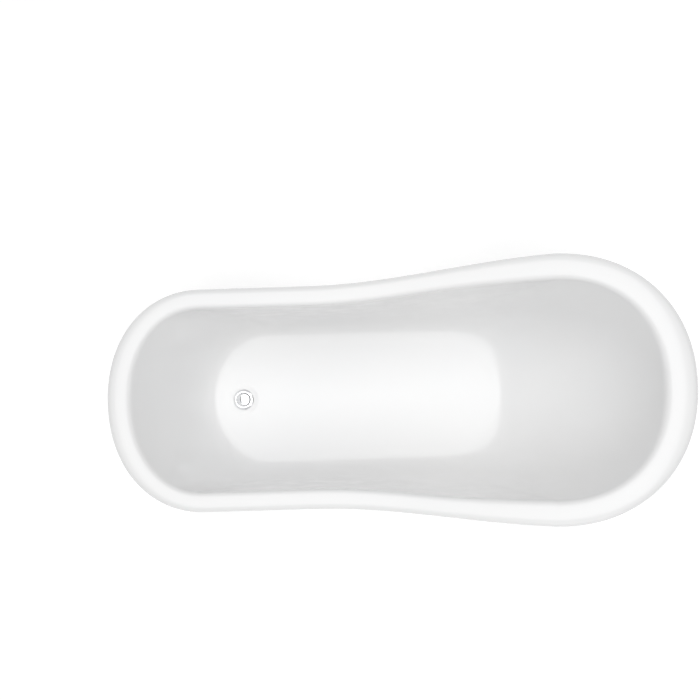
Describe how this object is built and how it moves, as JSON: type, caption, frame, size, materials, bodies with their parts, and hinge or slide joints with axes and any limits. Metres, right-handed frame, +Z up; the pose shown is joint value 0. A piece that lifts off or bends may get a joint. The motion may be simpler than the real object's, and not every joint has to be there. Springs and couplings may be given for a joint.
{
  "type": "freestanding bathtub",
  "caption": "Freestanding single-slipper bathtub: double-walled white acrylic, rolled rim, raised head end, claw feet with levellers, pop-up waste.",
  "frame": {"origin": "on the floor under the middle of the tub's length and width", "axes": "+X towards the raised head end, -X towards the drain, +Y towards the tub's left side seen from the drain end, +Z up"},
  "size_m": [1.7, 0.7774, 0.79],
  "materials": {
    "bathing_acrylic": "polished white sanitary acrylic",
    "skin_acrylic": "polished white sanitary acrylic",
    "plywood": "raw plywood, sealed by the double wall",
    "waste_chrome": "polished chrome on brass",
    "waste_brass": "turned brass",
    "waste_rubber": "moulded black rubber",
    "spring_steel": "bright spring wire",
    "foot_chrome": "polished chrome on a casting",
    "zinc_steel": "zinc plated",
    "pad_rubber": "moulded black rubber"
  },
  "bodies": {
    "tub": {"basin_shell": "bathing_acrylic", "outer_shell": "skin_acrylic", "base_board": "plywood", "head_bearer": "plywood", "drain_bearer": "plywood", "drain_flange": "waste_chrome", "tailpiece": "waste_chrome", "slip_nut": "waste_chrome", "drain_locknut": "waste_brass", "click_cartridge": "waste_brass", "drain_seal": "waste_rubber", "drain_gasket": "waste_rubber", "slip_washer": "waste_rubber", "click_spring": "spring_steel", "claw_foot_head_left": "foot_chrome", "foot_bolt_head_left": "zinc_steel", "foot_washer_head_left": "zinc_steel", "foot_nut_head_left": "zinc_steel", "backing_plate_head_left": "zinc_steel", "lock_nut_head_left": "zinc_steel", "claw_foot_head_right": "foot_chrome", "foot_bolt_head_right": "zinc_steel", "foot_washer_head_right": "zinc_steel", "foot_nut_head_right": "zinc_steel", "backing_plate_head_right": "zinc_steel", "lock_nut_head_right": "zinc_steel", "claw_foot_drain_left": "foot_chrome", "foot_bolt_drain_left": "zinc_steel", "foot_washer_drain_left": "zinc_steel", "foot_nut_drain_left": "zinc_steel", "backing_plate_drain_left": "zinc_steel", "lock_nut_drain_left": "zinc_steel", "claw_foot_drain_right": "foot_chrome", "foot_bolt_drain_right": "zinc_steel", "foot_washer_drain_right": "zinc_steel", "foot_nut_drain_right": "zinc_steel", "backing_plate_drain_right": "zinc_steel", "lock_nut_drain_right": "zinc_steel"},
    "stopper": {"stopper_cap": "waste_chrome", "stopper_seal": "waste_rubber", "stopper_plunger": "waste_brass"},
    "leveller_pad_head_left": {"leveller_pad_head_left": "pad_rubber"},
    "leveller_stem_head_left": {"leveller_stem_head_left": "zinc_steel"},
    "leveller_pad_head_right": {"leveller_pad_head_right": "pad_rubber"},
    "leveller_stem_head_right": {"leveller_stem_head_right": "zinc_steel"},
    "leveller_pad_drain_left": {"leveller_pad_drain_left": "pad_rubber"},
    "leveller_stem_drain_left": {"leveller_stem_drain_left": "zinc_steel"},
    "leveller_pad_drain_right": {"leveller_pad_drain_right": "pad_rubber"},
    "leveller_stem_drain_right": {"leveller_stem_drain_right": "zinc_steel"}
  },
  "joints": [
    {"name": "stopper_lift", "type": "slide", "parent": "tub", "child": "stopper", "axis": [0, 0, 1], "range_m": [0, 0.009], "deforming": ["click_spring"]},
    {"name": "leveller_lift_head_left", "type": "slide", "parent": "tub", "child": "leveller_pad_head_left", "axis": [0, 0, -1], "range_m": [-0.006, 0.012]},
    {"name": "leveller_turn_head_left", "type": "hinge", "parent": "leveller_pad_head_left", "child": "leveller_stem_head_left", "pos_m": [0.41, 0.235, 0.03], "axis": [0, 0, -1], "range_deg": [-1440, 2880]},
    {"name": "leveller_lift_head_right", "type": "slide", "parent": "tub", "child": "leveller_pad_head_right", "axis": [0, 0, -1], "range_m": [-0.006, 0.012]},
    {"name": "leveller_turn_head_right", "type": "hinge", "parent": "leveller_pad_head_right", "child": "leveller_stem_head_right", "pos_m": [0.41, -0.235, 0.03], "axis": [0, 0, -1], "range_deg": [-1440, 2880]},
    {"name": "leveller_lift_drain_left", "type": "slide", "parent": "tub", "child": "leveller_pad_drain_left", "axis": [0, 0, -1], "range_m": [-0.006, 0.012]},
    {"name": "leveller_turn_drain_left", "type": "hinge", "parent": "leveller_pad_drain_left", "child": "leveller_stem_drain_left", "pos_m": [-0.5, 0.235, 0.03], "axis": [0, 0, -1], "range_deg": [-1440, 2880]},
    {"name": "leveller_lift_drain_right", "type": "slide", "parent": "tub", "child": "leveller_pad_drain_right", "axis": [0, 0, -1], "range_m": [-0.006, 0.012]},
    {"name": "leveller_turn_drain_right", "type": "hinge", "parent": "leveller_pad_drain_right", "child": "leveller_stem_drain_right", "pos_m": [-0.5, -0.235, 0.03], "axis": [0, 0, -1], "range_deg": [-1440, 2880]}
  ],
  "couplings": [
    {"joint": "leveller_turn_head_left", "follows": "leveller_lift_head_left", "rad_per_m": 4188.8},
    {"joint": "leveller_turn_head_right", "follows": "leveller_lift_head_right", "rad_per_m": 4188.8},
    {"joint": "leveller_turn_drain_left", "follows": "leveller_lift_drain_left", "rad_per_m": 4188.8},
    {"joint": "leveller_turn_drain_right", "follows": "leveller_lift_drain_right", "rad_per_m": 4188.8}
  ]
}
